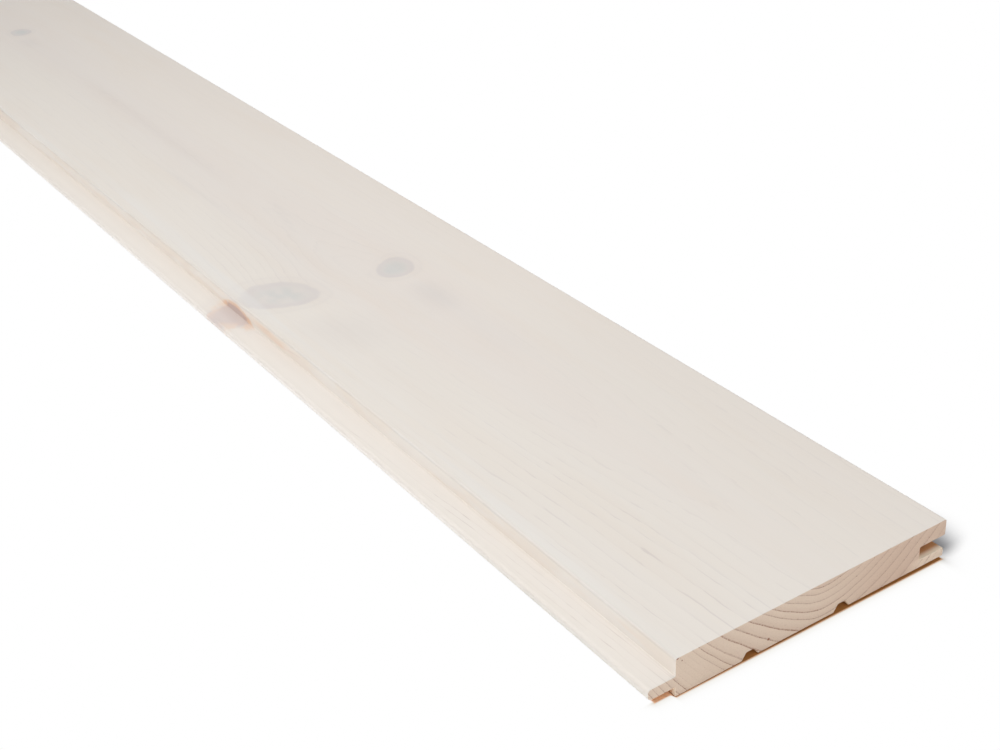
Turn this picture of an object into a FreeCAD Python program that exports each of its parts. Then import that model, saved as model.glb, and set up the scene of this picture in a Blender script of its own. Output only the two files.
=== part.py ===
import FreeCAD, Part
import math
import os

# A planed softwood panelling board, one solid: a constant section carried along its length.
# It lies on its back with its face up. X runs along the board, Y from the tongue to the groove, Z up,
# and the origin is the middle of the board's underside. All sizes are in millimetres.

# Overall sizes
length = 1800.0
thickness = 14.0
face_width = 110.0

# Tongue
tongue_length = 10.0
tongue_thickness = 4.0
tongue_depth = 6.5          # from the face down to the tongue's upper side
nose_top_radius = 1.2
nose_bottom_radius = 1.6

# Groove, which takes the tongue of a like board
joint_clearance = 0.45      # left above and below the tongue
groove_spare_depth = 1.2    # left past the tongue's nose
back_lip_setback = 0.2      # keeps the lips behind the groove from meeting before the faces do

# Relief grooves along the back
relief_count = 2
relief_depth = 2.5
relief_mouth_width = 6.3
relief_floor_width = 2.9
relief_first_centre = 28.4  # from the tongue's shoulder
relief_spacing = 36.9

# Eased edges
face_edge_radius = 0.8
back_edge_radius = 0.4
lip_edge_radius = 0.5
inner_corner_radius = 0.4

# Places that follow from the sizes
board_width = face_width + tongue_length
nose_y = -board_width / 2
lip_y = board_width / 2
shoulder_y = nose_y + tongue_length
tongue_top_z = thickness - tongue_depth
tongue_bottom_z = tongue_top_z - tongue_thickness
groove_top_z = tongue_top_z + joint_clearance
groove_bottom_z = tongue_bottom_z - joint_clearance
groove_wall_y = lip_y - tongue_length - groove_spare_depth
back_lip_y = lip_y - back_lip_setback


def relief_corners(centre_y):
    """The four corners of one relief groove, from the tongue side to the groove side."""
    half_mouth = relief_mouth_width / 2
    half_floor = relief_floor_width / 2
    return [
        (centre_y - half_mouth, 0.0, back_edge_radius),
        (centre_y - half_floor, relief_depth, inner_corner_radius),
        (centre_y + half_floor, relief_depth, inner_corner_radius),
        (centre_y + half_mouth, 0.0, back_edge_radius),
    ]


def section_corners():
    """The section's corners as (y, z, radius), counter-clockwise seen from the +X end."""
    corners = [(shoulder_y, 0.0, back_edge_radius)]
    for index in range(relief_count):
        corners += relief_corners(shoulder_y + relief_first_centre + index * relief_spacing)
    corners += [
        (back_lip_y, 0.0, back_edge_radius),
        (back_lip_y, groove_bottom_z, lip_edge_radius),
        (groove_wall_y, groove_bottom_z, inner_corner_radius),
        (groove_wall_y, groove_top_z, inner_corner_radius),
        (lip_y, groove_top_z, lip_edge_radius),
        (lip_y, thickness, face_edge_radius),
        (shoulder_y, thickness, face_edge_radius),
        (shoulder_y, tongue_top_z, inner_corner_radius),
        (nose_y, tongue_top_z, nose_top_radius),
        (nose_y, tongue_bottom_z, nose_bottom_radius),
        (shoulder_y, tongue_bottom_z, inner_corner_radius),
    ]
    return corners


def rounded_outline(corners, x):
    """A closed wire through the corners in the plane at x, each corner rounded by a tangent arc."""
    points = [FreeCAD.Vector(x, y, z) for y, z, radius in corners]
    arcs = []
    for index, corner in enumerate(points):
        radius = corners[index][2]
        back = (points[index - 1] - corner).normalize()
        ahead = (points[(index + 1) % len(points)] - corner).normalize()
        half_angle = back.getAngle(ahead) / 2
        inward = (back + ahead).normalize()
        tangent_length = radius / math.tan(half_angle)
        start = corner + back * tangent_length
        middle = corner + inward * (radius / math.sin(half_angle) - radius)
        end = corner + ahead * tangent_length
        arcs.append((start, middle, end))
    edges = []
    for index, (start, middle, end) in enumerate(arcs):
        edges.append(Part.LineSegment(arcs[index - 1][2], start).toShape())
        edges.append(Part.Arc(start, middle, end).toShape())
    return Part.Wire(edges)


def board():
    """The section carried along the whole length."""
    section = Part.Face(rounded_outline(section_corners(), -length / 2))
    return section.extrude(FreeCAD.Vector(length, 0, 0))


os.makedirs("parts", exist_ok=True)
solid = board()
solid.exportStep("parts/board.step")
box = solid.BoundBox
print("board", "valid" if solid.isValid() else "not valid", f"{len(solid.Solids)} solid")
print(f"box {box.XLength:.2f} x {box.YLength:.2f} x {box.ZLength:.2f} mm, {solid.Volume / 1000:.1f} cm3")
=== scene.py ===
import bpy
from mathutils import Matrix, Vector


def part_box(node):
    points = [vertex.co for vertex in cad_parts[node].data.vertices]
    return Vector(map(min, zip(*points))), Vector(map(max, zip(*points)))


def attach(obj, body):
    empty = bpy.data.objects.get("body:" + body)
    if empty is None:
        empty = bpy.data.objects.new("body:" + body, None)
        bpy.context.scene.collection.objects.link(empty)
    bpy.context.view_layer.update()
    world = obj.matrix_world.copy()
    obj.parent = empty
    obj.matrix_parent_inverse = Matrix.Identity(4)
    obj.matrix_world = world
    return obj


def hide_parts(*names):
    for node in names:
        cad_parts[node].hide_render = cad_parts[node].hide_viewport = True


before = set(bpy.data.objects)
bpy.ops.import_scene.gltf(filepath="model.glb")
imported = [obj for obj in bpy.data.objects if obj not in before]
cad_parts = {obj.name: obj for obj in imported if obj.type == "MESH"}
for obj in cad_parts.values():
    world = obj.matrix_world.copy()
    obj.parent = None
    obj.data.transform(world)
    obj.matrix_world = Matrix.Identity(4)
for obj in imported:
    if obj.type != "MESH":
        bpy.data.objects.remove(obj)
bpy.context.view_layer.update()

import math
import bpy
import numpy as np
from mathutils import Matrix, Vector

mm = 0.001
boardLow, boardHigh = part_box("board")
print("frame loaded, board", [round(side, 4) for side in boardHigh - boardLow])


# Board: the planed section, carried along the length
boardShape = dict(
    tongueLength=10 * mm, tongueThickness=4 * mm, tongueDepth=6.5 * mm,  # depth is from the face
    noseTop=1.2 * mm, noseBottom=1.6 * mm,
    jointClearance=0.45 * mm, grooveSpare=1.2 * mm, backLipSetback=0.2 * mm,
    reliefCentres=(28.4 * mm, 65.3 * mm),  # from the shoulder
    reliefDepth=2.5 * mm, reliefMouth=6.3 * mm, reliefFloor=2.9 * mm,
    faceEdge=0.8 * mm, backEdge=0.4 * mm, lipEdge=0.5 * mm, innerCorner=0.4 * mm,
    arcSteps=4, arcMargin=0.12 * mm,
    faceStep=1.0 * mm, sideStep=1.7 * mm, backStep=4.0 * mm,  # spacing along the section
    alongStep=9 * mm, knotStep=1.6 * mm, knotReach=21 * mm, leastStep=0.1 * mm,  # spacing along the length
    endEase=0.12 * mm,  # how far the sawn ends' edges are eased
    endStations=np.array([0.0, 0.12, 0.24, 0.6, 1.5, 4.0]) * mm,
    sharpAngle=math.radians(38),
)
shoulderY = boardLow.y + boardShape["tongueLength"]
tongueTopZ = boardHigh.z - boardShape["tongueDepth"]
tongueLowZ = tongueTopZ - boardShape["tongueThickness"]
grooveWallY = boardHigh.y - boardShape["tongueLength"] - boardShape["grooveSpare"]

# Trunk that the board was sawn from, in millimetres. The pith runs along the board, above its face.
trunk = dict(
    pithY=9.0, pithZ=50.5,
    dip=8.0, dipLength=600.0,  # away from the +X end the pith comes nearer to the face
    wander=2.5, wanderLength=130.0,
    bend=12.0, tongueFlank=0.65, grooveFlank=0.5, steepen=7e-5,  # a ring is a rounded V, steeper outwards
)

# Branches, in millimetres or in radii of the knot on the face
branch = dict(
    startZ=54.0, lean=0.45,  # where they start, and how far they climb for each millimetre outwards
    startRadius=0.38, grownTo=1.5,  # share of the radius at the start, and where they stop getting thicker
    twoLobes=0.06, threeLobes=0.04,  # a knot's outline isn't quite round
    outward=(2.0, 10.0), backward=9.0,  # keeps the other side of the pith free of the branch
    collar=0.6, collarFall=0.5, collarStretch=0.6,  # rings rise round a branch
    stainFrom=(1.6, 2.9), stainFaint=(3.6, 5.4), stainDrop=0.75, stainWidth=0.85,  # in radii
    stainEnd=(60.0, 130.0),  # in millimetres
)

# Whorls: the trunk swells where its branches leave it. Distances are from the +X end.
whorls = [
    dict(fromEnd=268.0, swell=8.0, reach=160.0),
    dict(fromEnd=705.0, swell=2.5, reach=80.0),
    dict(fromEnd=1140.0, swell=6.0, reach=150.0),
    dict(fromEnd=1570.0, swell=6.5, reach=150.0),
]

# Knots: place on the face, the branch's radius there and how dark it is. One that isn't dark is grown
# over, and only its rings show. On the butt side the wood is stained, in line with the knot or beside it.
knots = [
    dict(fromEnd=274.4, y=-32.1, radius=10.6, dark=1.05, stain=0.55, stainBeside=3.0),
    dict(fromEnd=266.5, y=17.2, radius=8.0, dark=1.6, stain=1.0, stainBeside=0.0),
    dict(fromEnd=282.0, y=3.0, radius=8.0, dark=0.0, stain=0.0, stainBeside=0.0),
    dict(fromEnd=714.6, y=7.3, radius=6.2, dark=1.4, stain=0.5, stainBeside=-3.0),
    dict(fromEnd=1136.0, y=-20.0, radius=9.0, dark=0.9, stain=0.6, stainBeside=2.0),
    dict(fromEnd=1144.0, y=41.0, radius=8.0, dark=1.0, stain=0.8, stainBeside=-2.0),
    dict(fromEnd=1573.0, y=20.0, radius=10.0, dark=0.9, stain=0.7, stainBeside=0.0),
    dict(fromEnd=1566.0, y=-9.0, radius=4.0, dark=1.1, stain=0.2, stainBeside=0.0),
]

# Resin streaks along the grain. Each runs between two places, given as (distance from the +X end, y, z).
streakTip = 0.35  # share of its length over which a streak fades at each tip
streaks = [
    dict(start=(370.0, 2.0, 14.0), finish=(640.0, 6.0, 14.0), width=3.6, strength=0.75),
    dict(start=(345.0, -13.0, 14.0), finish=(455.0, -14.8, 14.0), width=1.4, strength=0.7),
    dict(start=(325.0, -0.6, 14.0), finish=(376.0, 12.5, 14.0), width=1.4, strength=0.7),
    dict(start=(230.0, -50.0, 10.2), finish=(272.0, -50.0, 10.9), width=1.1, strength=0.95),
    dict(start=(880.0, 22.0, 14.0), finish=(1060.0, 18.0, 14.0), width=2.0, strength=0.4),
    dict(start=(1260.0, -14.0, 14.0), finish=(1450.0, -9.0, 14.0), width=2.4, strength=0.45),
]


def unit(vectors):
    return vectors / np.linalg.norm(vectors, axis=-1, keepdims=True)


# 0 below the first value and 1 above the second, with a smooth step between
def smooth(values, first, second):
    share = np.clip((values - first) / (second - first), 0, 1)
    return share * share * (3 - 2 * share)


# Corners of the section as (y, z, radius, spacing of the next flat), counter-clockwise seen from +X
def sectionCorners(shape):
    grooveTopZ = tongueTopZ + shape["jointClearance"]
    grooveLowZ = tongueLowZ - shape["jointClearance"]
    backLipY = boardHigh.y - shape["backLipSetback"]
    side, back = shape["sideStep"], shape["backStep"]
    corners = [(shoulderY, 0, shape["backEdge"], back)]
    for centre in shape["reliefCentres"]:
        middle = shoulderY + centre
        corners += [
            (middle - shape["reliefMouth"] / 2, 0, shape["backEdge"], back),
            (middle - shape["reliefFloor"] / 2, shape["reliefDepth"], shape["innerCorner"], back),
            (middle + shape["reliefFloor"] / 2, shape["reliefDepth"], shape["innerCorner"], back),
            (middle + shape["reliefMouth"] / 2, 0, shape["backEdge"], back),
        ]
    return np.array(corners + [
        (backLipY, 0, shape["backEdge"], back),
        (backLipY, grooveLowZ, shape["lipEdge"], back),
        (grooveWallY, grooveLowZ, shape["innerCorner"], back),
        (grooveWallY, grooveTopZ, shape["innerCorner"], back),
        (boardHigh.y, grooveTopZ, shape["lipEdge"], back),
        (boardHigh.y, boardHigh.z, shape["faceEdge"], shape["faceStep"]),
        (shoulderY, boardHigh.z, shape["faceEdge"], side),
        (shoulderY, tongueTopZ, shape["innerCorner"], side),
        (boardLow.y, tongueTopZ, shape["noseTop"], side),
        (boardLow.y, tongueLowZ, shape["noseBottom"], back),
        (shoulderY, tongueLowZ, shape["innerCorner"], back),
    ])


# Each corner becomes a tangent arc: its centre lies radius / sin(half angle) along the bisector,
# and it turns from one tangent point to the other. Straight points fill the flats between the arcs.
def roundedOutline(corners, shape):
    points, radius, spacing = corners[:, :2], corners[:, 2:3], corners[:, 3]
    back = unit(np.roll(points, 1, 0) - points)
    ahead = unit(np.roll(points, -1, 0) - points)
    half = np.arccos((back * ahead).sum(1, keepdims=True)) / 2
    centre = points + unit(back + ahead) * radius / np.sin(half)
    first = points + back * radius / np.tan(half) - centre
    last = points + ahead * radius / np.tan(half) - centre
    angle = np.arctan2(first[:, 1], first[:, 0])
    sweep = (np.arctan2(last[:, 1], last[:, 0]) - angle + math.pi) % (2 * math.pi) - math.pi
    turn = angle[:, None] + sweep[:, None] * np.linspace(0, 1, shape["arcSteps"] + 1)
    arcs = centre[:, None] + radius[:, None] * np.stack([np.cos(turn), np.sin(turn)], 2)
    pieces = []
    for arc, nextStart, step in zip(arcs, np.roll(arcs[:, 0], -1, 0), spacing):
        run = np.linalg.norm(nextStart - arc[-1])
        inner = run - 2 * shape["arcMargin"]
        places = shape["arcMargin"] + inner * np.linspace(0, 1, max(2, math.ceil(inner / step) + 1))
        pieces += [arc, arc[-1] + (nextStart - arc[-1]) * places[:, None] / run]
    return np.concatenate(pieces)


# Stations along the board: an even spacing, closer at the knots and at the sawn ends
def boardStations(shape):
    even = np.arange(boardLow.x, boardHigh.x, shape["alongStep"])
    reach = np.arange(-shape["knotReach"], shape["knotReach"], shape["knotStep"])
    fine = []
    for knot in knots:
        near = boardHigh.x - knot["fromEnd"] * mm + reach
        if not fine or np.abs(fine[-1] - near[0]).min() > shape["knotReach"]:
            fine.append(near)
    for stretch in fine:
        even = even[(even < stretch[0] - shape["knotStep"]) | (even > stretch[-1] + shape["knotStep"])]
    ends = shape["endStations"]
    every = np.concatenate([even, *fine, boardLow.x + ends, boardHigh.x - ends])
    every = np.unique(np.round(every, 6))  # to a thousandth of a millimetre
    return every[np.append(np.diff(every) > shape["leastStep"], True)]


# One branch, at points in millimetres. Its axis runs from the pith through the knot on the face. Gives
# the distance from that axis over the branch's radius, the rise of the rings round it, and its stain.
def branchField(points, knot):
    faceZ = boardHigh.z / mm
    out = np.array([0.0, knot["y"] - trunk["pithY"], faceZ - branch["startZ"]])
    axis = out - np.array([branch["lean"] * np.linalg.norm(out), 0, 0])
    span = np.linalg.norm(axis)
    axis = axis / span
    onFace = np.array([boardHigh.x / mm - knot["fromEnd"], knot["y"], faceZ])
    away = points - (onFace - axis * span)
    along = away @ axis
    off = away - along[:, None] * axis
    across = unit(np.cross([1.0, 0.0, 0.0], axis))
    upward = np.cross(axis, across)
    sideways, lengthways = off @ across, off @ upward
    angle = np.arctan2(lengthways, sideways)
    wobble = 1 + branch["twoLobes"] * np.sin(2 * angle + knot["fromEnd"])
    wobble = wobble + branch["threeLobes"] * np.sin(3 * angle + knot["y"])
    grown = np.clip(along / span, 0, branch["grownTo"])
    radius = knot["radius"] * (branch["startRadius"] + (1 - branch["startRadius"]) * grown) * wobble
    outward = smooth(along, *branch["outward"])
    ratio = np.hypot(sideways, lengthways) / radius + branch["backward"] * (1 - outward)
    wide = np.hypot(sideways, lengthways * branch["collarStretch"]) / radius
    collar = branch["collar"] * knot["radius"] * np.exp(-branch["collarFall"] * wide ** 2) * outward
    buttSide = points[:, 0] - (onFace[0] + (along - span) * axis[0])
    radii = buttSide / knot["radius"]
    tail = smooth(radii, *branch["stainFrom"]) * (1 - smooth(buttSide, *branch["stainEnd"]))
    tail = tail * (1 - branch["stainDrop"] * smooth(radii, *branch["stainFaint"]))
    beside = (sideways - knot["stainBeside"]) / (branch["stainWidth"] * knot["radius"])
    stain = knot["stain"] * tail * np.exp(-beside ** 2) * outward
    return ratio, collar, stain


# A streak fades with the distance from its line, as a bell curve, and towards its two tips
def streakField(points, streak):
    start, finish = (np.array([boardHigh.x / mm - fromEnd, y, z])
                     for fromEnd, y, z in (streak["start"], streak["finish"]))
    run = finish - start
    share = (points - start) @ run / (run @ run)
    off = np.linalg.norm(points - start - share[:, None] * run, axis=1)
    tips = smooth(share, 0, streakTip) * (1 - smooth(share, 1 - streakTip, 1))
    return streak["strength"] * tips * np.exp(-(off / streak["width"]) ** 2)


# The pith's y and z at a distance from the +X end: it sways, comes nearer to the face, and dips at a whorl
def pithAt(fromEnd):
    y = trunk["pithY"] + trunk["wander"] * (np.cos(fromEnd / trunk["wanderLength"]) - 1)
    z = trunk["pithZ"] - trunk["dip"] * (1 - np.exp(-fromEnd / trunk["dipLength"]))
    for whorl in whorls:
        z = z - whorl["swell"] * np.exp(-((fromEnd - whorl["fromEnd"]) / whorl["reach"]) ** 2)
    return y, z


# Growth: depth below the pith, more at both sides of it, less the rise of the rings round the branches
def growthField(points):
    x, y, z = points.T
    pithY, pithZ = pithAt(boardHigh.x / mm - x)
    aside = np.abs(y - pithY)
    flank = np.where(y < pithY, trunk["tongueFlank"], trunk["grooveFlank"])
    spread = np.hypot(aside, trunk["bend"]) - trunk["bend"]
    growth = pithZ - z + flank * spread + trunk["steepen"] * aside ** 3
    fields = [branchField(points, knot) for knot in knots]
    ratios = np.stack([ratio for ratio, collar, stain in fields])
    growth -= sum(collar for ratio, collar, stain in fields)
    dark = np.array([knot["dark"] for knot in knots])[ratios.argmin(0)]
    stain = sum(stain for ratio, collar, stain in fields)
    resin = sum(streakField(points, streak) for streak in streaks)
    return dict(growth=growth, knot=ratios.min(0), knotDark=dark, stain=stain, resin=resin)


# Flat layout for baking: the length in two halves, one above the other, and the two ends below them
bakeLayout = dict(rows=2, gap=0.004, endBand=0.064, endScale=0.004 / mm, secondEnd=0.5, faceShare=1.6)


def bakeCoordinates(outline, along, layout):
    rows, columns = len(along), len(outline)
    step = np.linalg.norm(np.roll(outline, -1, 0) - outline, axis=1)
    onFace = np.minimum(outline[:, 1], np.roll(outline[:, 1], -1)) > boardHigh.z - boardShape["faceEdge"]
    step = step * np.where(onFace, layout["faceShare"], 1.0)
    around = np.append(0, np.cumsum(step)) / step.sum()
    half = np.searchsorted(along, (boardLow.x + boardHigh.x) / 2)
    first, last = along[:-1], along[1:]
    inSecond = np.arange(rows - 1) >= half
    start = np.where(inSecond, along[half], along[0])
    length = np.where(inSecond, along[-1] - along[half], along[half] - along[0])
    width = 1 - 2 * layout["gap"]
    u = [layout["gap"] + width * (x - start) / length for x in (first, last, last, first)]
    height = (1 - layout["endBand"]) / layout["rows"]
    base = layout["endBand"] + inSecond * height + layout["gap"]
    v = [around[:-1], around[:-1], around[1:], around[1:]]
    sides = np.stack([
        np.broadcast_to(np.stack(u, 1)[:, None], (rows - 1, columns, 4)),
        base[:, None, None] + (height - 2 * layout["gap"]) * np.stack(v, 1)[None],
    ], 3)[:, :, ::-1]
    end = (outline - [boardLow.y, 0]) * layout["endScale"] + layout["gap"]
    return np.concatenate([sides.reshape(-1, 2), end, end[::-1] + [layout["secondEnd"], 0]])


# The section is carried along X. At both ends it shrinks by the ease, along its own normal.
def boardMesh(shape):
    outline = roundedOutline(sectionCorners(shape), shape)
    along = boardStations(shape)
    tangent = np.roll(outline, -1, 0) - np.roll(outline, 1, 0)
    normal = unit(np.stack([tangent[:, 1], -tangent[:, 0]], 1))
    toEnd = np.minimum(along - boardLow.x, boardHigh.x - along)
    ease = shape["endEase"] * np.clip(1 - toEnd / (2 * shape["endEase"]), 0, 1) ** 2
    rings = outline[None] - normal[None] * ease[:, None, None]
    grid = np.concatenate([np.broadcast_to(along[:, None, None], (*rings.shape[:2], 1)), rings], 2)
    rows, columns = grid.shape[:2]
    index = np.arange(rows * columns).reshape(rows, columns)
    sides = np.stack([index[:-1], index[1:], np.roll(index[1:], -1, 1), np.roll(index[:-1], -1, 1)], 2)
    faces = sides.reshape(-1, 4)[:, ::-1].tolist() + [index[-1].tolist(), index[0, ::-1].tolist()]
    points = grid.reshape(-1, 3)
    mesh = bpy.data.meshes.new("board_visual")
    mesh.from_pydata(points.tolist(), [], faces)
    for name, values in growthField(points / mm).items():
        mesh.attributes.new(name, "FLOAT", "POINT").data.foreach_set("value", values.astype(np.float32))
    flat = mesh.uv_layers.new(name="OFBake")
    flat.uv.foreach_set("vector", bakeCoordinates(outline, along, bakeLayout).astype(np.float32).ravel())
    slots = np.zeros(len(faces), np.int32)
    slots[-2:] = 1  # the two sawn ends
    mesh.polygons.foreach_set("material_index", slots)
    mesh.shade_smooth()
    mesh.set_sharp_from_angle(angle=shape["sharpAngle"])
    mesh.update()
    return mesh


board = bpy.data.objects.new("board_visual", boardMesh(boardShape))
bpy.context.scene.collection.objects.link(board)
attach(board, "root")
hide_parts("board")
print("board mesh:", len(board.data.vertices), "points,", len(board.data.polygons), "faces")


# A node socket that takes part in sums: each operator adds one Math node to the tree
class Wire:
    def __init__(self, tree, socket):
        self.tree = tree
        self.socket = socket

    # any node: settings first, then values or links for its sockets, by name or by number
    def node(self, kind, settings=None, inputs=None, output=0):
        made = self.tree.nodes.new(kind)
        for name, value in (settings or {}).items():
            if name == "curve":
                for place in value[1:-1]:
                    made.mapping.curves[0].points.new(*place)
                for point, place in zip(made.mapping.curves[0].points, value):
                    point.location = place
                    point.handle_type = "VECTOR"
                made.mapping.update()
            else:
                setattr(made, name, value)
        for name, value in (inputs or {}).items():
            if isinstance(value, Wire):
                self.tree.links.new(value.socket, made.inputs[name])
            else:
                made.inputs[name].default_value = value
        return Wire(self.tree, made.outputs[output])

    def math(self, operation, *values):
        return self.node("ShaderNodeMath", dict(operation=operation), dict(enumerate(values)))

    def __add__(self, other):
        return self.math("ADD", self, other)

    def __radd__(self, other):
        return self.math("ADD", other, self)

    def __sub__(self, other):
        return self.math("SUBTRACT", self, other)

    def __rsub__(self, other):
        return self.math("SUBTRACT", other, self)

    def __mul__(self, other):
        return self.math("MULTIPLY", self, other)

    def __rmul__(self, other):
        return self.math("MULTIPLY", other, self)

    def __truediv__(self, other):
        return self.math("DIVIDE", self, other)

    def __rtruediv__(self, other):
        return self.math("DIVIDE", other, self)

    def __pow__(self, other):
        return self.math("POWER", self, other)

    def __abs__(self):
        return self.math("ABSOLUTE", self)

    def exponential(self):
        return self.math("EXPONENT", self)

    def least(self, other):
        return self.math("MINIMUM", self, other)

    def most(self, other):
        return self.math("MAXIMUM", self, other)

    # a straight line: its start, and its rise while this value goes from 0 to 1
    def ramp(self, start, rise):
        return start + self * rise

    # 0 at the first value and 1 at the second, with a smooth step between them
    def step(self, first, second):
        return self.node("ShaderNodeMapRange", dict(interpolation_type="SMOOTHSTEP"),
                         {"Value": self, "From Min": first, "From Max": second})

    def vector(self, operation, *values, output=0):
        return self.node("ShaderNodeVectorMath", dict(operation=operation),
                         dict(enumerate(values)), output)

    def part(self, axis):
        return self.node("ShaderNodeSeparateXYZ", None, {0: self}, "XYZ".index(axis))

    # a colour from the first to the second, while this value goes from 0 to 1
    def between(self, first, second):
        return self.node("ShaderNodeMix", dict(data_type="RGBA"),
                         {0: self, 6: (*first, 1), 7: (*second, 1)}, 2)

    def tint(self, colour, amount, blend="MIX"):
        colour = colour if isinstance(colour, Wire) else (*colour, 1)
        return self.node("ShaderNodeMix", dict(data_type="RGBA", blend_type=blend),
                         {0: amount, 6: self, 7: colour}, 2)

    # noise over a place in millimetres, drawn out by its own size along each axis
    def noise(self, size, detail=2.0, rough=0.5, shift=0.0):
        moved = self.vector("MULTIPLY_ADD", self, tuple(1 / side for side in size), (shift, shift, shift))
        return self.node("ShaderNodeTexNoise", None,
                         {"Vector": moved, "Scale": 1.0, "Detail": detail, "Roughness": rough})

    # the same noise taken about its middle, times an amount
    def sway(self, amount, **pattern):
        return (self.noise(**pattern) - 0.5) * amount


# Rings, by their growth in millimetres: where each year ends, how a year darkens, and how they waver.
# A pair of numbers, here and below, is where something begins and where it is whole. Where a note says
# start and rise, it is a straight line's value at 0 and what it gains by 1.
ringLook = dict(
    ends=(*np.arange(9.0, 38.0, 2.6), 39.8, 42.7, 46.0, 48.7, 53.0, 57.7, 62.7, 68.0, 71.3, 74.1, 77.2,
          80.4, 83.6, 86.8, 89.9, 93.5, 97.5, 100.8, *np.arange(104.0, 126.0, 3.2)),
    heartwood=(42.0, 28.0),
    line=(0.8, 0.955), blush=(0.15, 0.9), yearEnd=(1.0, 0.98),  # in shares of a year
    force=(0.5, 0.5),  # start and rise: some years are weaker
    clearFrom=(74.7, 75.5), clearTo=(88.5, 87.5), clearBy=0.85,  # slow years with hardly any dark wood
    bends=dict(size=(60.0, 22.0, 22.0), shift=7.3), bendBy=2.4,
    ripples=dict(size=(13.0, 3.5, 3.5), shift=13.9), rippleBy=1.8, rippleInside=(0.0, 14.0),
)


# The rings waver along the grain: long slow bends, and small ripples that die out at the sawn ends
def ringWaver(place, inside, look):
    ripples = place.sway(look["rippleBy"], **look["ripples"]) * inside.step(*look["rippleInside"])
    return place.sway(look["bendBy"], **look["bends"]) + ripples


# A curve turns the growth into a count of years. Through each year the wood darkens as a blush, and the
# year ends with a dark line.
def ringPattern(growth, look):
    ends, count = look["ends"], len(look["ends"]) - 1
    span = ends[-1] - ends[0]
    share = (growth - ends[0]) / span
    curve = [((end - ends[0]) / span, number / count) for number, end in enumerate(ends)]
    years = share.node("ShaderNodeFloatCurve", dict(curve=curve), {"Value": share}) * count
    ripe = years.math("FRACT", years)
    year = years.math("FLOOR", years)
    force = year.node("ShaderNodeTexWhiteNoise", dict(noise_dimensions="1D"), {"W": year})
    clear = growth.step(*look["clearFrom"]) * growth.step(*look["clearTo"])
    force = force.ramp(*look["force"]) * (1 - clear * look["clearBy"]) * ripe.step(*look["yearEnd"])
    return ripe.step(*look["line"]) * force, ripe.step(*look["blush"]) * force


# Surfaces of the section. Each is a list of limits: a line of the section, and the distances from it,
# in millimetres, at which the surface begins and is whole.
surfaceLimits = dict(
    face=[("face", -0.8, -0.2)],
    edge=[("shoulder", 13.0, 4.0)],  # stretch of the face beside the shoulder
    arris=[("shoulder", 1.0, 0.3), ("face", -1.3, -0.5)],
    outside=[("shoulder", 0.8, 0.4)],  # shoulder and tongue
    shoulder=[("shoulder", 0.8, 0.4), ("tongueTop", 0.0, 0.3)],
    crease=[("shoulder", -1.0, -0.4), ("tongueTop", 0.8, 0.3)],  # where shoulder and tongue meet
    corner=[("shoulder", -7.0, -0.5)],  # tongue's inner half
    aboveLow=[("tongueLow", 0.0, 0.5)],
    tip=[("nose", 2.0, 1.2)],
    nose=[("nose", 2.4, 1.2)],
    noseTop=[("nose", 1.8, 0.3), ("tongueTop", -1.8, -0.8)],
    noseSide=[("nose", 1.2, 0.2), ("tongueTop", -0.8, -1.8)],
    rabbet=[("shoulder", -0.4, 0.0), ("shoulder", 0.6, 0.3), ("tongueLow", 0.2, -0.2)],  # below the tongue
    groove=[("grooveWall", -0.4, 0.0), ("tongueLow", -0.9, -0.5), ("tongueTop", 0.9, 0.5)],
)


# How far a place lies on each surface, from 0 to 1: the product of its limits
def boardSurfaces(y, z):
    lines = dict(
        shoulder=(y, shoulderY), nose=(y, boardLow.y), grooveWall=(y, grooveWallY),
        face=(z, boardHigh.z), tongueTop=(z, tongueTopZ), tongueLow=(z, tongueLowZ),
    )
    surface = {}
    for name, limits in surfaceLimits.items():
        for line, begins, whole in limits:
            value, at = lines[line]
            limit = value.step(at / mm + begins, at / mm + whole)
            surface[name] = surface[name] * limit if name in surface else limit
    onTongue = surface["outside"] * (1 - surface["shoulder"])
    surface["tongue"] = onTongue * surface["aboveLow"].most(surface["tip"])
    return surface


finishLook = dict(gloss=0.2, relief=0.6)  # for both of the board's materials


# Gives the material, the place on the board in millimetres, and its distance from the nearer sawn end
def newMaterial(name):
    material = bpy.data.materials.new(name)
    material.use_nodes = True
    tree = material.node_tree
    place = Wire(tree, tree.nodes.new("ShaderNodeTexCoord").outputs["Object"])
    place = place.vector("MULTIPLY", place, (1 / mm, 1 / mm, 1 / mm))
    return material, place, boardHigh.x / mm - abs(place.part("X"))


# Colour and a fine relief, with its height in millimetres, go to the material's shader.
# Gives the shader's roughness, which the caller sets or links.
def dressMaterial(material, colour, height):
    tree = material.node_tree
    shader = tree.nodes["Principled BSDF"]
    tree.links.new(colour.socket, shader.inputs["Base Color"])
    shader.inputs["Specular IOR Level"].default_value = finishLook["gloss"]
    bump = height.node("ShaderNodeBump", None,
                       {"Strength": finishLook["relief"], "Distance": mm, "Height": height})
    tree.links.new(bump.socket, shader.inputs["Normal"])
    return shader.inputs["Roughness"]


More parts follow.
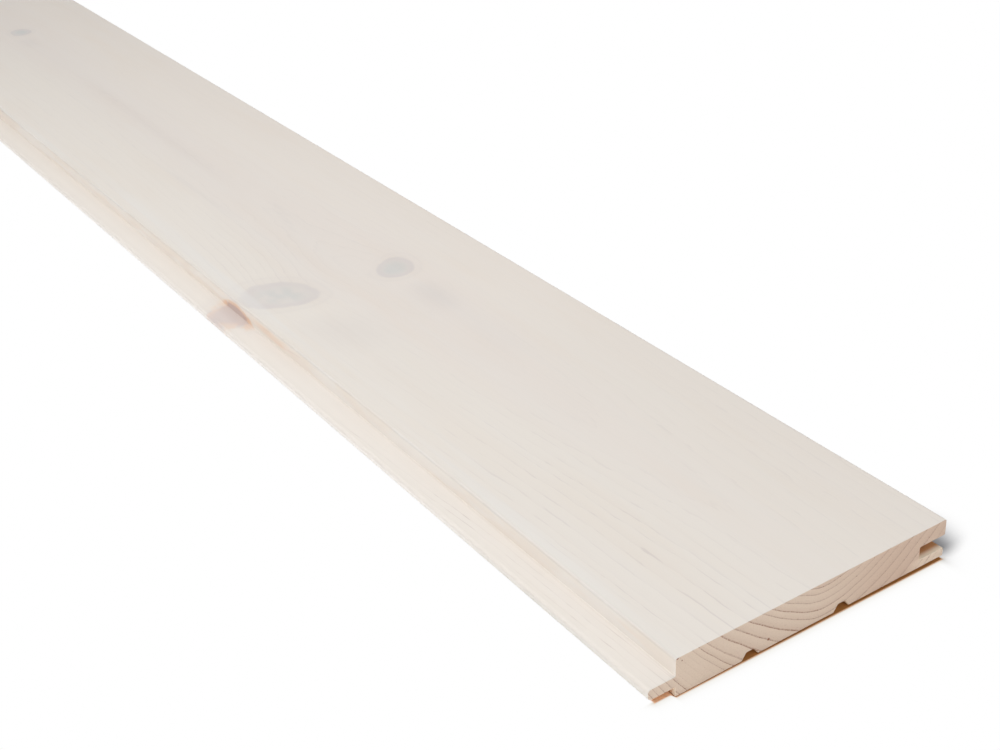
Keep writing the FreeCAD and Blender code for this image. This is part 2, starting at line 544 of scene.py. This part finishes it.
# Raw pine on the planed surfaces: rings from the growth, fibres and short dark dashes along the grain
pineLook = dict(
    early=(0.82, 0.615, 0.425), heart=(0.79, 0.555, 0.395), late=(0.43, 0.21, 0.11),
    stain=(0.50, 0.29, 0.18), resin=(0.76, 0.38, 0.14), fibreShade=(0.92, 0.92, 0.92),
    # groove and rabbet: a pale cream at the sawn ends, a painted light, and a dark brown further in, a
    # painted shade of the hollows
    groove=(0.98, 0.86, 0.70), hollowShade=(0.57, 0.29, 0.13), hollowShadeFrom=(0.6, 2.8),
    grooveSide=(0.80, 0.54, 0.34), towardsGroove=(5.0, 50.0), grooveTint=0.4,
    fibre=dict(size=(45.0, 0.6, 0.6), detail=3.0, rough=0.6, shift=3.1), fibreSeen=(0.45, 0.8),
    dash=dict(size=(11.0, 1.2, 1.2), shift=19.4), dashSeen=(0.46, 0.6), dashMost=0.7,
    flock=dict(size=(70.0, 2.5, 2.5), shift=23.8), flockSeen=(0.4, 0.6), lone=0.4,  # dashes keep together
    blush=0.14, lineHeight=0.012, fibreHeight=0.018,
    # where the rings show through the glaze, along the board and across it
    nearEnd=(700.0, 860.0), cutSteep=(4.0, 28.0), grooveHalf=(14.0, 36.0),
    beyondFrom=(500.0, 580.0), beyondTo=(640.0, 610.0), beyondEnd=0.6, beyondSteep=0.5,
    shoulderHides=0.4, noseHides=0.95,
    # start and rise
    clearAlong=(0.25, 0.75), clearAcross=(0.35, 0.65), clearGroove=(1.0, -0.6), noseHeight=(1.0, -0.9),
    lineFirm=(0.12, 0.22), lineDashed=(1.2, -0.8), stainFibre=(0.6, 0.7), resinDash=(0.4, 0.6),
)

# Knots: distances from the branch's axis are in its radii, places along X and Z in millimetres
knotLook = dict(
    colour=(0.44, 0.28, 0.20), core=(0.19, 0.16, 0.12), side=(0.47, 0.27, 0.23), rim=(0.36, 0.165, 0.135),
    patches=dict(size=(8.0, 6.0, 6.0), shift=5.5), ragged=dict(size=(6.0, 6.0, 6.0)), raggedBy=0.22,
    body=(1.14, 0.86), rimFrom=(0.6, 0.9), rimTo=(1.14, 0.96), halo=(1.8, 1.0), haloTint=0.25,
    ringFrom=(1.3, 1.43), ringTo=(1.56, 1.43), ringTint=0.25, inCore=(0.95, 0.2), coreTint=0.85,
    tornFrom=(0.75, 1.0), tornTo=(1.4, 1.1), tornShoulder=0.85, tornTongue=0.75,
    corePatches=(0.25, 0.65), tornPatches=(0.34, 0.52),  # levels of the patchy noise
    opened=(0.0, 0.5), coreFull=(1.3, 1.6), coreFill=0.75,  # by how dark the knot is
    # start and rise
    bodyPatches=(0.65, 0.4), rimPatches=(0.35, 0.7), sidePatches=(0.35, 0.7), sideWide=(1.0, -0.26),
    # a knot that the shoulder cuts open narrows towards its butt side, its top and its crown side
    buttX=(612.0, 638.0), topZ=(8.8, 13.0), taper=0.5, tongueTaper=0.5,
    crownX=(612.0, 602.0), crownTaper=0.35,
)

# Glaze: a thin white stain. Cover is the share of the wood's own colour that it hides.
glazeLook = dict(
    colour=(0.788, 0.782, 0.762), sideColour=(0.835, 0.818, 0.795),  # on the face, and on the shoulder and, as a painted light, on the face's groove half
    noseLitNear=(0.80, 0.78, 0.74), noseLitFar=(0.90, 0.87, 0.84),  # painted light on the nose's side, near the +X end and away from it
    faceCover=0.78, edgeCover=0.07, shoulderCover=0.78, tongueCover=0.80, noseLiftCover=0.14,
    tornBare=0.8, resinBare=0.7, grainFirm=0.2, grooveSide=0.6,
    roughRaw=0.72, roughGlazed=0.55, roughFibre=0.06,
    # what each of these multiplies the colour by: painted shade on the arris, the tongue's inner half, the
    # crease and the nose's top, against highlights and bounce light there; the grain; and blotches in the
    # glaze
    arris=(0.84, 0.845, 0.845), corner=(0.89, 0.885, 0.885), grain=(0.87, 0.85, 0.83),
    crease=(0.93, 0.92, 0.91), noseTop=(0.95, 0.945, 0.94), blotch=(0.994, 0.981, 0.966),
    uneven=dict(size=(160.0, 7.0, 7.0), detail=3.0, shift=11.7), unevenSeen=(0.4, 0.62),
    spots=dict(size=(24.0, 5.0, 5.0), shift=33.6), spotSeen=(0.4, 0.62),
    blotches=dict(size=(90.0, 15.0, 15.0), detail=3.0, shift=29.3), blotchSeen=(0.45, 0.75),
    # along the board, and across it for the groove's half
    noseAway=(850.0, 760.0), tongueAway=(600.0, 350.0), grainNear=(640.0, 800.0),
    grooveAway=(800.0, 650.0), grooveHalf=(-10.0, 40.0),
    # start and rise
    unevenCover=(0.95, 0.1), shoulderBare=(1.0, -0.55), shoulderSpots=(0.92, 0.16),
    tongueBare=(0.2, 0.08), tongueThin=(1.0, -0.04),
)


def boardMaterial(pine, knot, glaze):
    material, place, inside = newMaterial("glazed_pine")

    def carried(name):
        return place.node("ShaderNodeAttribute", dict(attribute_name=name), None, "Fac")

    x, y, z = (place.part(axis) for axis in "XYZ")
    surface = boardSurfaces(y, z)
    shoulder, tongue = surface["shoulder"], surface["tongue"]
    beside = shoulder + tongue
    growth = carried("growth") + ringWaver(place, inside, ringLook)
    line, blush = ringPattern(growth, ringLook)
    fibre = place.noise(**pine["fibre"])
    flock = place.noise(**pine["flock"]).step(*pine["flockSeen"])
    dash = place.noise(**pine["dash"]).step(*pine["dashSeen"]) * pine["dashMost"] * (pine["lone"] + flock)

    # Wood: darker towards the heart and on the groove side. Under the glaze the rings show best near the
    # +X end and just beyond the first whorl, and hardly where they are cut flat, below the pith.
    beyond = x.step(*pine["beyondFrom"]) * x.step(*pine["beyondTo"])
    steep = abs(y - trunk["pithY"]).step(*pine["cutSteep"])
    clear = x.step(*pine["nearEnd"]).most(beyond * pine["beyondEnd"]).ramp(*pine["clearAlong"])
    clear = clear * steep.most(beyond * pine["beyondSteep"]).ramp(*pine["clearAcross"])
    clear = clear * y.step(*pine["grooveHalf"]).ramp(*pine["clearGroove"])
    shown = 1 - surface["face"] * (1 - clear)
    shown = shown - shoulder * pine["shoulderHides"] - surface["nose"] * pine["noseHides"]
    wood = growth.step(*ringLook["heartwood"]).between(pine["early"], pine["heart"])
    wood = wood.tint(pine["grooveSide"], y.step(*pine["towardsGroove"]) * pine["grooveTint"])
    drawn = beyond.ramp(*pine["lineFirm"]) + dash * beyond.ramp(*pine["lineDashed"])
    wood = wood.tint(pine["late"], (blush * pine["blush"] + line * drawn).least(1.0) * shown)
    wood = wood.tint(pine["fibreShade"], fibre.step(*pine["fibreSeen"]), "MULTIPLY")
    wood = wood.tint(pine["stain"], carried("stain") * fibre.ramp(*pine["stainFibre"]))
    resin = carried("resin")
    wood = wood.tint(pine["stain"], resin * dash.ramp(*pine["resinDash"]) * (1 - beside))
    wood = wood.tint(pine["resin"], resin * beside)
    # Groove and rabbet: painted light, a pale cream, at the sawn ends, and painted shade, a dark brown,
    # further in
    hollow = surface["groove"] + surface["rabbet"]
    wood = wood.tint(pine["groove"], hollow)
    wood = wood.tint(pine["hollowShade"], hollow * inside.step(*pine["hollowShadeFrom"]))

    # Knots: a paler body with a dark core and rim, a faint ring of bark round them, and torn resin at the
    # edge where the shoulder or tongue cuts one open
    patchy = place.noise(**knot["patches"])
    dark = carried("knotDark")
    opened = dark.step(*knot["opened"])
    ratio = carried("knot") + place.sway(knot["raggedBy"], **knot["ragged"])
    narrow = x.step(*knot["buttX"]) * (shoulder + tongue * knot["tongueTaper"])
    narrow = narrow + z.step(*knot["topZ"]) * shoulder
    ratio = ratio * beside.ramp(*knot["sideWide"]) + narrow * knot["taper"]
    ratio = ratio + x.step(*knot["crownX"]) * beside * knot["crownTaper"]
    body = ratio.step(*knot["body"]) * opened
    wood = wood.tint(pine["stain"], ratio.step(*knot["halo"]) * opened * knot["haloTint"])
    ring = ratio.step(*knot["ringFrom"]) * ratio.step(*knot["ringTo"]) * opened
    wood = wood.tint(knot["rim"], ring * patchy * knot["ringTint"])
    wood = wood.tint(knot["colour"], (body * patchy.ramp(*knot["bodyPatches"]) * dark).least(1.0))
    core = patchy.step(*knot["corePatches"]).most(dark.step(*knot["coreFull"]) * knot["coreFill"])
    core = core * ratio.step(*knot["inCore"])
    wood = wood.tint(knot["core"], (core * dark * knot["coreTint"]).least(1.0))
    rim = ratio.step(*knot["rimFrom"]) * ratio.step(*knot["rimTo"]) * opened
    wood = wood.tint(knot["rim"], rim * patchy.ramp(*knot["rimPatches"]))
    wood = wood.tint(knot["side"], body * beside * patchy.ramp(*knot["sidePatches"]))
    torn = ratio.step(*knot["tornFrom"]) * ratio.step(*knot["tornTo"]) * patchy.step(*knot["tornPatches"])
    torn = torn * opened
    wood = wood.tint(pine["resin"], torn * (shoulder * knot["tornShoulder"] + tongue * knot["tornTongue"]))

    # Glaze: in streaks along the face's tongue edge, thinner on the knots and the
    # resin that the shoulder and tongue cut open. The nose's side gets a thicker, paler coat, a painted
    # light that lifts its shade, and the face's groove half a paler one, a painted light against the lamps'
    # fall across the face
    uneven = place.noise(**glaze["uneven"])
    spots = place.noise(**glaze["spots"]).step(*glaze["spotSeen"])
    noseSide = tongue * surface["noseSide"]
    bare = body.most(torn * glaze["tornBare"]).most(resin * glaze["resinBare"])
    onFace = glaze["faceCover"] + surface["edge"] * uneven.step(*glaze["unevenSeen"]) * glaze["edgeCover"]
    onShoulder = bare.ramp(*glaze["shoulderBare"]) * spots.ramp(*glaze["shoulderSpots"])
    onTongue = x.step(*glaze["tongueAway"]).ramp(*glaze["tongueThin"]) * glaze["tongueCover"]
    # extra cover on the nose's side: painted light
    onTongue = onTongue + noseSide * glaze["noseLiftCover"]
    onTongue = onTongue * (1 - bare * surface["corner"].ramp(*glaze["tongueBare"]))
    cover = shoulder * onShoulder * glaze["shoulderCover"] + tongue * onTongue
    cover = cover.most(surface["face"] * onFace) * uneven.ramp(*glaze["unevenCover"])
    # the face's groove half, away from the +X end, is painted paler: a painted light that evens out the
    # lamps' fall across the face; the shoulder is paler too
    grooveSide = surface["face"] * y.step(*glaze["grooveHalf"]) * x.step(*glaze["grooveAway"])
    paler = (shoulder + grooveSide * glaze["grooveSide"]).least(1.0)
    paint = paler.between(glaze["colour"], glaze["sideColour"])
    paint = paint.tint(glaze["noseLitNear"], noseSide)
    paint = paint.tint(glaze["noseLitFar"], noseSide * x.step(*glaze["noseAway"]))
    colour = wood.tint(paint, cover)

    # Darker places: painted shade on the edges, the tongue's inner half, the crease and the nose's top, and
    # the tongue's grain near the +X end and blotches in the glaze
    grain = (line * (glaze["grainFirm"] + dash)).least(1.0) * x.step(*glaze["grainNear"])
    darker = dict(
        # painted shade on these four, against bounce light in the corner and crease and highlights on the
        # arris and nose top
        arris=surface["arris"],
        corner=tongue * surface["corner"],
        grain=grain * tongue * (1 - surface["nose"]),
        crease=beside * surface["crease"],
        noseTop=tongue * surface["noseTop"],
        blotch=place.noise(**glaze["blotches"]).step(*glaze["blotchSeen"]) * cover,
    )
    for name, amount in darker.items():
        colour = colour.tint(glaze[name], amount, "MULTIPLY")
    height = line * pine["lineHeight"] + fibre * pine["fibreHeight"]
    roughSocket = dressMaterial(material, colour, height * surface["nose"].ramp(*pine["noseHeight"]))
    rough = cover.ramp(glaze["roughRaw"], glaze["roughGlazed"] - glaze["roughRaw"])
    rough = rough + fibre * glaze["roughFibre"]
    material.node_tree.links.new(rough.socket, roughSocket)
    return material


# Sawn end: the same rings, worked out from the pith, with resin canals and the saw's marks
endLook = dict(
    early=(0.80, 0.65, 0.525), heart=(0.76, 0.585, 0.465), late=(0.33, 0.15, 0.095),
    groove=(0.75, 0.57, 0.45), grooveSide=(0.0, 40.0),
    lip=(0.92, 0.75, 0.60), lipY=(42.0, 51.0), lipZ=(4.2, 2.8),  # groove's lower lip
    ragged=dict(size=(2.0, 0.5, 0.5), detail=3.0, rough=0.6), torn=(0.93, 0.92, 0.91), tornSeen=(0.4, 0.75),
    blush=0.14, lineRagged=(0.34, 0.66), fineSide=(0.0, 30.0),
    line=(0.2, 0.7), fine=(1.0, -0.5),  # start and rise
    canalScale=0.9, canal=(0.22, 0.1), canalLine=1.6, canalBlush=0.3, canalMost=0.9,
    # pin knots and torn spots: y, z, radius
    marks=((-14.5, 3.2, 0.6), (-49.3, 13.8, 0.6), (-47.6, 12.2, 0.3)), markCore=0.2,
    sawAcross=(0.0, 0.35, 0.94), sawTurn=5.2, sawHeight=0.012, raggedHeight=0.05, roughness=0.85,
    middle=1.0,  # half the stretch over which one end's pith, or one flank, gives way to the other
)


def endMaterial(look):
    material, place, inside = newMaterial("sawn_end")
    x, y, z = (place.part(axis) for axis in "XYZ")
    nearY, nearZ = (float(value) for value in pithAt(0.0))
    farY, farZ = (float(value) for value in pithAt((boardHigh.x - boardLow.x) / mm))
    far = x.step(look["middle"], -look["middle"])
    aside = y - far.ramp(nearY, farY - nearY)
    onGrooveSide = aside.step(-look["middle"], look["middle"])
    flank = onGrooveSide.ramp(trunk["tongueFlank"], trunk["grooveFlank"] - trunk["tongueFlank"])
    aside = abs(aside)
    spread = (aside * aside + trunk["bend"] ** 2) ** 0.5 - trunk["bend"]
    growth = far.ramp(nearZ, farZ - nearZ) - z + flank * spread + aside ** 3.0 * trunk["steepen"]
    growth = growth + ringWaver(place, inside, ringLook)
    line, blush = ringPattern(growth, ringLook)
    ragged = place.noise(**look["ragged"])
    wood = growth.step(*ringLook["heartwood"]).between(look["early"], look["heart"])
    wood = wood.tint(look["groove"], y.step(*look["grooveSide"]))
    wood = wood.tint(look["lip"], y.step(*look["lipY"]) * z.step(*look["lipZ"]))
    wood = wood.tint(look["torn"], ragged.step(*look["tornSeen"]), "MULTIPLY")
    late = blush * look["blush"] + line * ragged.step(*look["lineRagged"]).ramp(*look["line"])
    wood = wood.tint(look["late"], late * y.step(*look["fineSide"]).ramp(*look["fine"]))
    canals = place.node("ShaderNodeTexVoronoi", None, {"Vector": place, "Scale": look["canalScale"]})
    among = (line * look["canalLine"] + blush * look["canalBlush"]).least(look["canalMost"])
    wood = wood.tint(look["late"], canals.step(*look["canal"]) * among)
    for markY, markZ, radius in look["marks"]:
        apart = (y - markY) ** 2.0 + (z - markZ) ** 2.0
        wood = wood.tint(look["late"], apart.step(radius ** 2, look["markCore"] * radius ** 2))
    sawn = place.vector("DOT_PRODUCT", place, look["sawAcross"], output=1) * look["sawTurn"]
    height = ragged * look["raggedHeight"] + sawn.math("SINE", sawn) * look["sawHeight"]
    dressMaterial(material, wood, height).default_value = look["roughness"]
    return material


board.data.materials.append(boardMaterial(pineLook, knotLook, glazeLook))
board.data.materials.append(endMaterial(endLook))
print("materials:", [material.name for material in board.data.materials])


# Floor: white all round, with the board's own shadow on it, deepened beside the groove by a painted shadow,
# and with painted shade and warm bounce light under and round the board. It lies a little lower under the
# groove side.
floorLook = dict(
    size=6.0, colour=(0.96, 0.96, 0.96), roughness=0.9, gap=0.25 * mm, drop=1.35 * mm, glow=0.05,
    under=(0.42, 0.19, 0.06), underIn=(0.0, -0.4 * mm),  # painted shade under the board, in the raw wood's warm colour
    warmBounce=(0.92, 0.58, 0.36), warmEdge=(0.5 * mm, 0.25 * mm), warmNarrow=4,  # painted warm bounce light off the raw wood round the board's foot, narrower beside the groove
    # painted shadow beside the groove: its reach near the end and away from it, and how it ends at the
    # corner
    shade=(0.38, 0.39, 0.41), lipReach=13.8 * mm, lipReachAway=8 * mm, lipAway=(-12 * mm, -40 * mm),
    lipClear=(1.81, 0.37), lipStart=0.05 * mm, leastReach=0.01 * mm, lipIn=(-3 * mm, 0.0),
    lipPast=4 * mm, lipFade=5 * mm, endFade=(3.5 * mm, -5 * mm), tail=0.55, tailReach=3.5 * mm,
    # the shadow gives way to white over these distances from the board, and sooner under the tongue
    endClear=(-0.1 * mm, 0.55 * mm), tongueClear=(-4.2 * mm, -3.4 * mm), lipWhite=(0.0, 0.2 * mm),
    rabbetClear=1.8 * mm, rabbetIn=(-0.5 * mm, 0.5 * mm),
    # painted soft warm shadow along the end, for what the camera sees
    edge=0.38, edgeReach=1.1 * mm, edgeIn=(-1 * mm, 0.0), edgeShadowColour=(0.42, 0.30, 0.08),
)


# 1 for what the camera sees, straight or in a reflection or through glass
def seenRays(tree):
    rays = tree.nodes.new("ShaderNodeLightPath").outputs
    kinds = ("Is Camera Ray", "Is Glossy Ray", "Is Transmission Ray")
    camera, glossy, through = (Wire(tree, rays[kind]) for kind in kinds)
    return camera.most(glossy).most(through)


def floorMaterial(look):
    material = bpy.data.materials.new("white_floor")
    material.use_nodes = True
    tree = material.node_tree
    shader = tree.nodes["Principled BSDF"]
    shader.inputs["Roughness"].default_value = look["roughness"]
    shader.inputs["Specular IOR Level"].default_value = 0.0
    place = Wire(tree, tree.nodes.new("ShaderNodeTexCoord").outputs["Object"])
    x, y = place.part("X"), place.part("Y")
    pastEnd = abs(x) - boardHigh.x
    pastLip = y - boardHigh.y
    pastTongue = boardLow.y - y
    pastShoulder = shoulderY - y

    # Beside the groove a painted shadow darkens the floor's colour and keeps the lit floor in view. It is
    # rounded off at the end:
    # its reach dies out as an exponential, and so does the weak tail that runs on round the corner.
    fade = ((pastEnd - look["lipPast"]).least(0.0) / look["lipFade"]).exponential()
    reach = pastEnd.step(*look["lipAway"]).ramp(look["lipReach"], look["lipReachAway"] - look["lipReach"])
    reach = (reach * (1 - fade)).most(look["leastReach"])
    besideLip = (pastLip.most(0.0) + look["lipStart"]) / reach
    tail = ((pastLip.most(0.0) + pastEnd.most(0.0)) / -look["tailReach"]).exponential() * look["tail"]
    # painted shadow: darkens the floor's colour and keeps the lit floor, with its lamp shadow, in view
    shade = besideLip.step(*look["lipClear"]) * pastEnd.step(*look["endFade"])
    shade = shade.most(tail) * pastLip.step(*look["lipIn"])
    # painted warm bounce light round the board's foot, and painted shade under it
    warmBounce = pastEnd.most(pastLip * look["warmNarrow"]).most(pastTongue).step(*look["warmEdge"])
    under = pastEnd.most(pastLip).most(pastShoulder).step(*look["underIn"])
    colour = shade.between(look["colour"], look["shade"])
    colour = colour.tint(look["warmBounce"], warmBounce).tint(look["under"], under)
    tree.links.new(colour.socket, shader.inputs["Base Color"])

    # White all round for what the camera sees. Along the end it starts with a painted soft warm shadow,
    # which dies out as an exponential.
    seen = seenRays(tree)
    atEnd = pastEnd + pastShoulder.step(*look["rabbetIn"]) * look["rabbetClear"]
    clear = atEnd.step(*look["endClear"]).most(pastTongue.step(*look["tongueClear"]))
    clear = clear.most(pastLip.step(*look["lipWhite"])) * (1 - shade)
    off = atEnd.most(0.0) + (pastTongue - look["tongueClear"][1]).most(0.0) + pastLip.most(0.0)
    edge = (off / -look["edgeReach"]).exponential() * atEnd.step(*look["edgeIn"]) * look["edge"]
    whiteWithEdgeShadow = edge.between((1, 1, 1), look["edgeShadowColour"])
    white = place.node("ShaderNodeEmission", None, {"Color": whiteWithEdgeShadow, "Strength": 1.0})
    # the floor's own colour glows faintly for the camera: a painted light that lifts its shadows
    glow = place.node("ShaderNodeEmission", None, {"Color": colour, "Strength": seen * look["glow"]})
    lit = place.node("ShaderNodeAddShader", None, {0: Wire(tree, shader.outputs[0]), 1: glow})
    mixed = place.node("ShaderNodeMixShader", None, {0: seen * clear, 1: lit, 2: white})
    tree.links.new(mixed.socket, tree.nodes["Material Output"].inputs["Surface"])
    return material


# One large square, which falls by its drop over the width of the face
def makeFloor(look):
    half = look["size"] / 2
    slope = look["drop"] / (boardHigh.y - shoulderY)
    corner = np.array([(-half, -half), (half, -half), (half, half), (-half, half)])
    points = np.column_stack([corner, (shoulderY - corner[:, 1]) * slope - look["gap"]])
    mesh = bpy.data.meshes.new("floor")
    mesh.from_pydata(points.tolist(), [], [(0, 1, 2, 3)])
    mesh.materials.append(floorMaterial(look))
    floor = bpy.data.objects.new("floor", mesh)
    bpy.context.scene.collection.objects.link(floor)


makeFloor(floorLook)


# Light: a soft box beside the tongue, a weaker one towards the +X end, a low one that lights
# only the other half of the board, and an even white room
lightLook = dict(
    room=0.30,
    keyLight=dict(place=(0.57, -0.56, 0.99), aim=(0.62, 0.0, 0.0), size=0.8, power=8.6),
    endLight=dict(place=(1.75, -0.50, 1.0), aim=(0.9, 0.0, 0.0), size=0.8, power=6.6),
    farLight=dict(place=(-0.50, -0.30, 0.5), aim=(-1.1, 0.0, 0.0), size=0.5, power=2.6),
)


def makeSoftBox(name, look):
    lamp = bpy.data.lights.new(name, "AREA")
    lamp.size = look["size"]
    lamp.energy = look["power"]
    soft = bpy.data.objects.new(name, lamp)
    soft.location = look["place"]
    soft.rotation_euler = (Vector(look["aim"]) - Vector(look["place"])).to_track_quat("-Z", "Y").to_euler()
    soft.visible_camera = False
    bpy.context.scene.collection.objects.link(soft)


# White to look at, and weaker as a light on the board
def makeRoom(look):
    world = bpy.data.worlds.new("room")
    world.use_nodes = True
    tree = world.node_tree
    background = tree.nodes["Background"]
    background.inputs["Color"].default_value = (1, 1, 1, 1)
    strength = seenRays(tree).ramp(look["room"], 1 - look["room"])
    tree.links.new(strength.socket, background.inputs["Strength"])
    bpy.context.scene.world = world


makeSoftBox("key_light", lightLook["keyLight"])
makeSoftBox("end_light", lightLook["endLight"])
makeSoftBox("far_light", lightLook["farLight"])
makeRoom(lightLook)

# Camera: the photograph's view, placed from the board's near end and shoulder. Angles are in degrees.
cameraLook = dict(
    pastEnd=258.19 * mm, besideShoulder=218.3 * mm, height=301.71 * mm, clipStart=10 * mm,
    pitch=29.924, yaw=147.406, roll=3.105, focalPixels=1547.9, frameWidth=1000, sensorWidth=36.0,
)


def makeCamera(look):
    pitch, yaw, roll = (math.radians(look[name]) for name in ("pitch", "yaw", "roll"))
    forward = Vector((math.cos(pitch) * math.cos(yaw), math.cos(pitch) * math.sin(yaw), -math.sin(pitch)))
    right = forward.cross(Vector((0, 0, 1))).normalized()
    down = forward.cross(right)
    rolledRight = math.cos(roll) * right + math.sin(roll) * down
    rolledDown = math.cos(roll) * down - math.sin(roll) * right
    data = bpy.data.cameras.new("photo_view")
    data.sensor_fit = "HORIZONTAL"
    data.sensor_width = look["sensorWidth"]
    data.lens = look["focalPixels"] / look["frameWidth"] * look["sensorWidth"]
    data.clip_start = look["clipStart"]
    camera = bpy.data.objects.new("photo_view", data)
    turn = Matrix((rolledRight, -rolledDown, -forward)).transposed().to_4x4()
    place = Vector((boardHigh.x + look["pastEnd"], shoulderY - look["besideShoulder"], look["height"]))
    camera.matrix_world = Matrix.Translation(place) @ turn
    bpy.context.scene.collection.objects.link(camera)
    bpy.context.scene.camera = camera


makeCamera(cameraLook)
bpy.context.scene.view_settings.view_transform = "Standard"
print("stage, light and camera set")
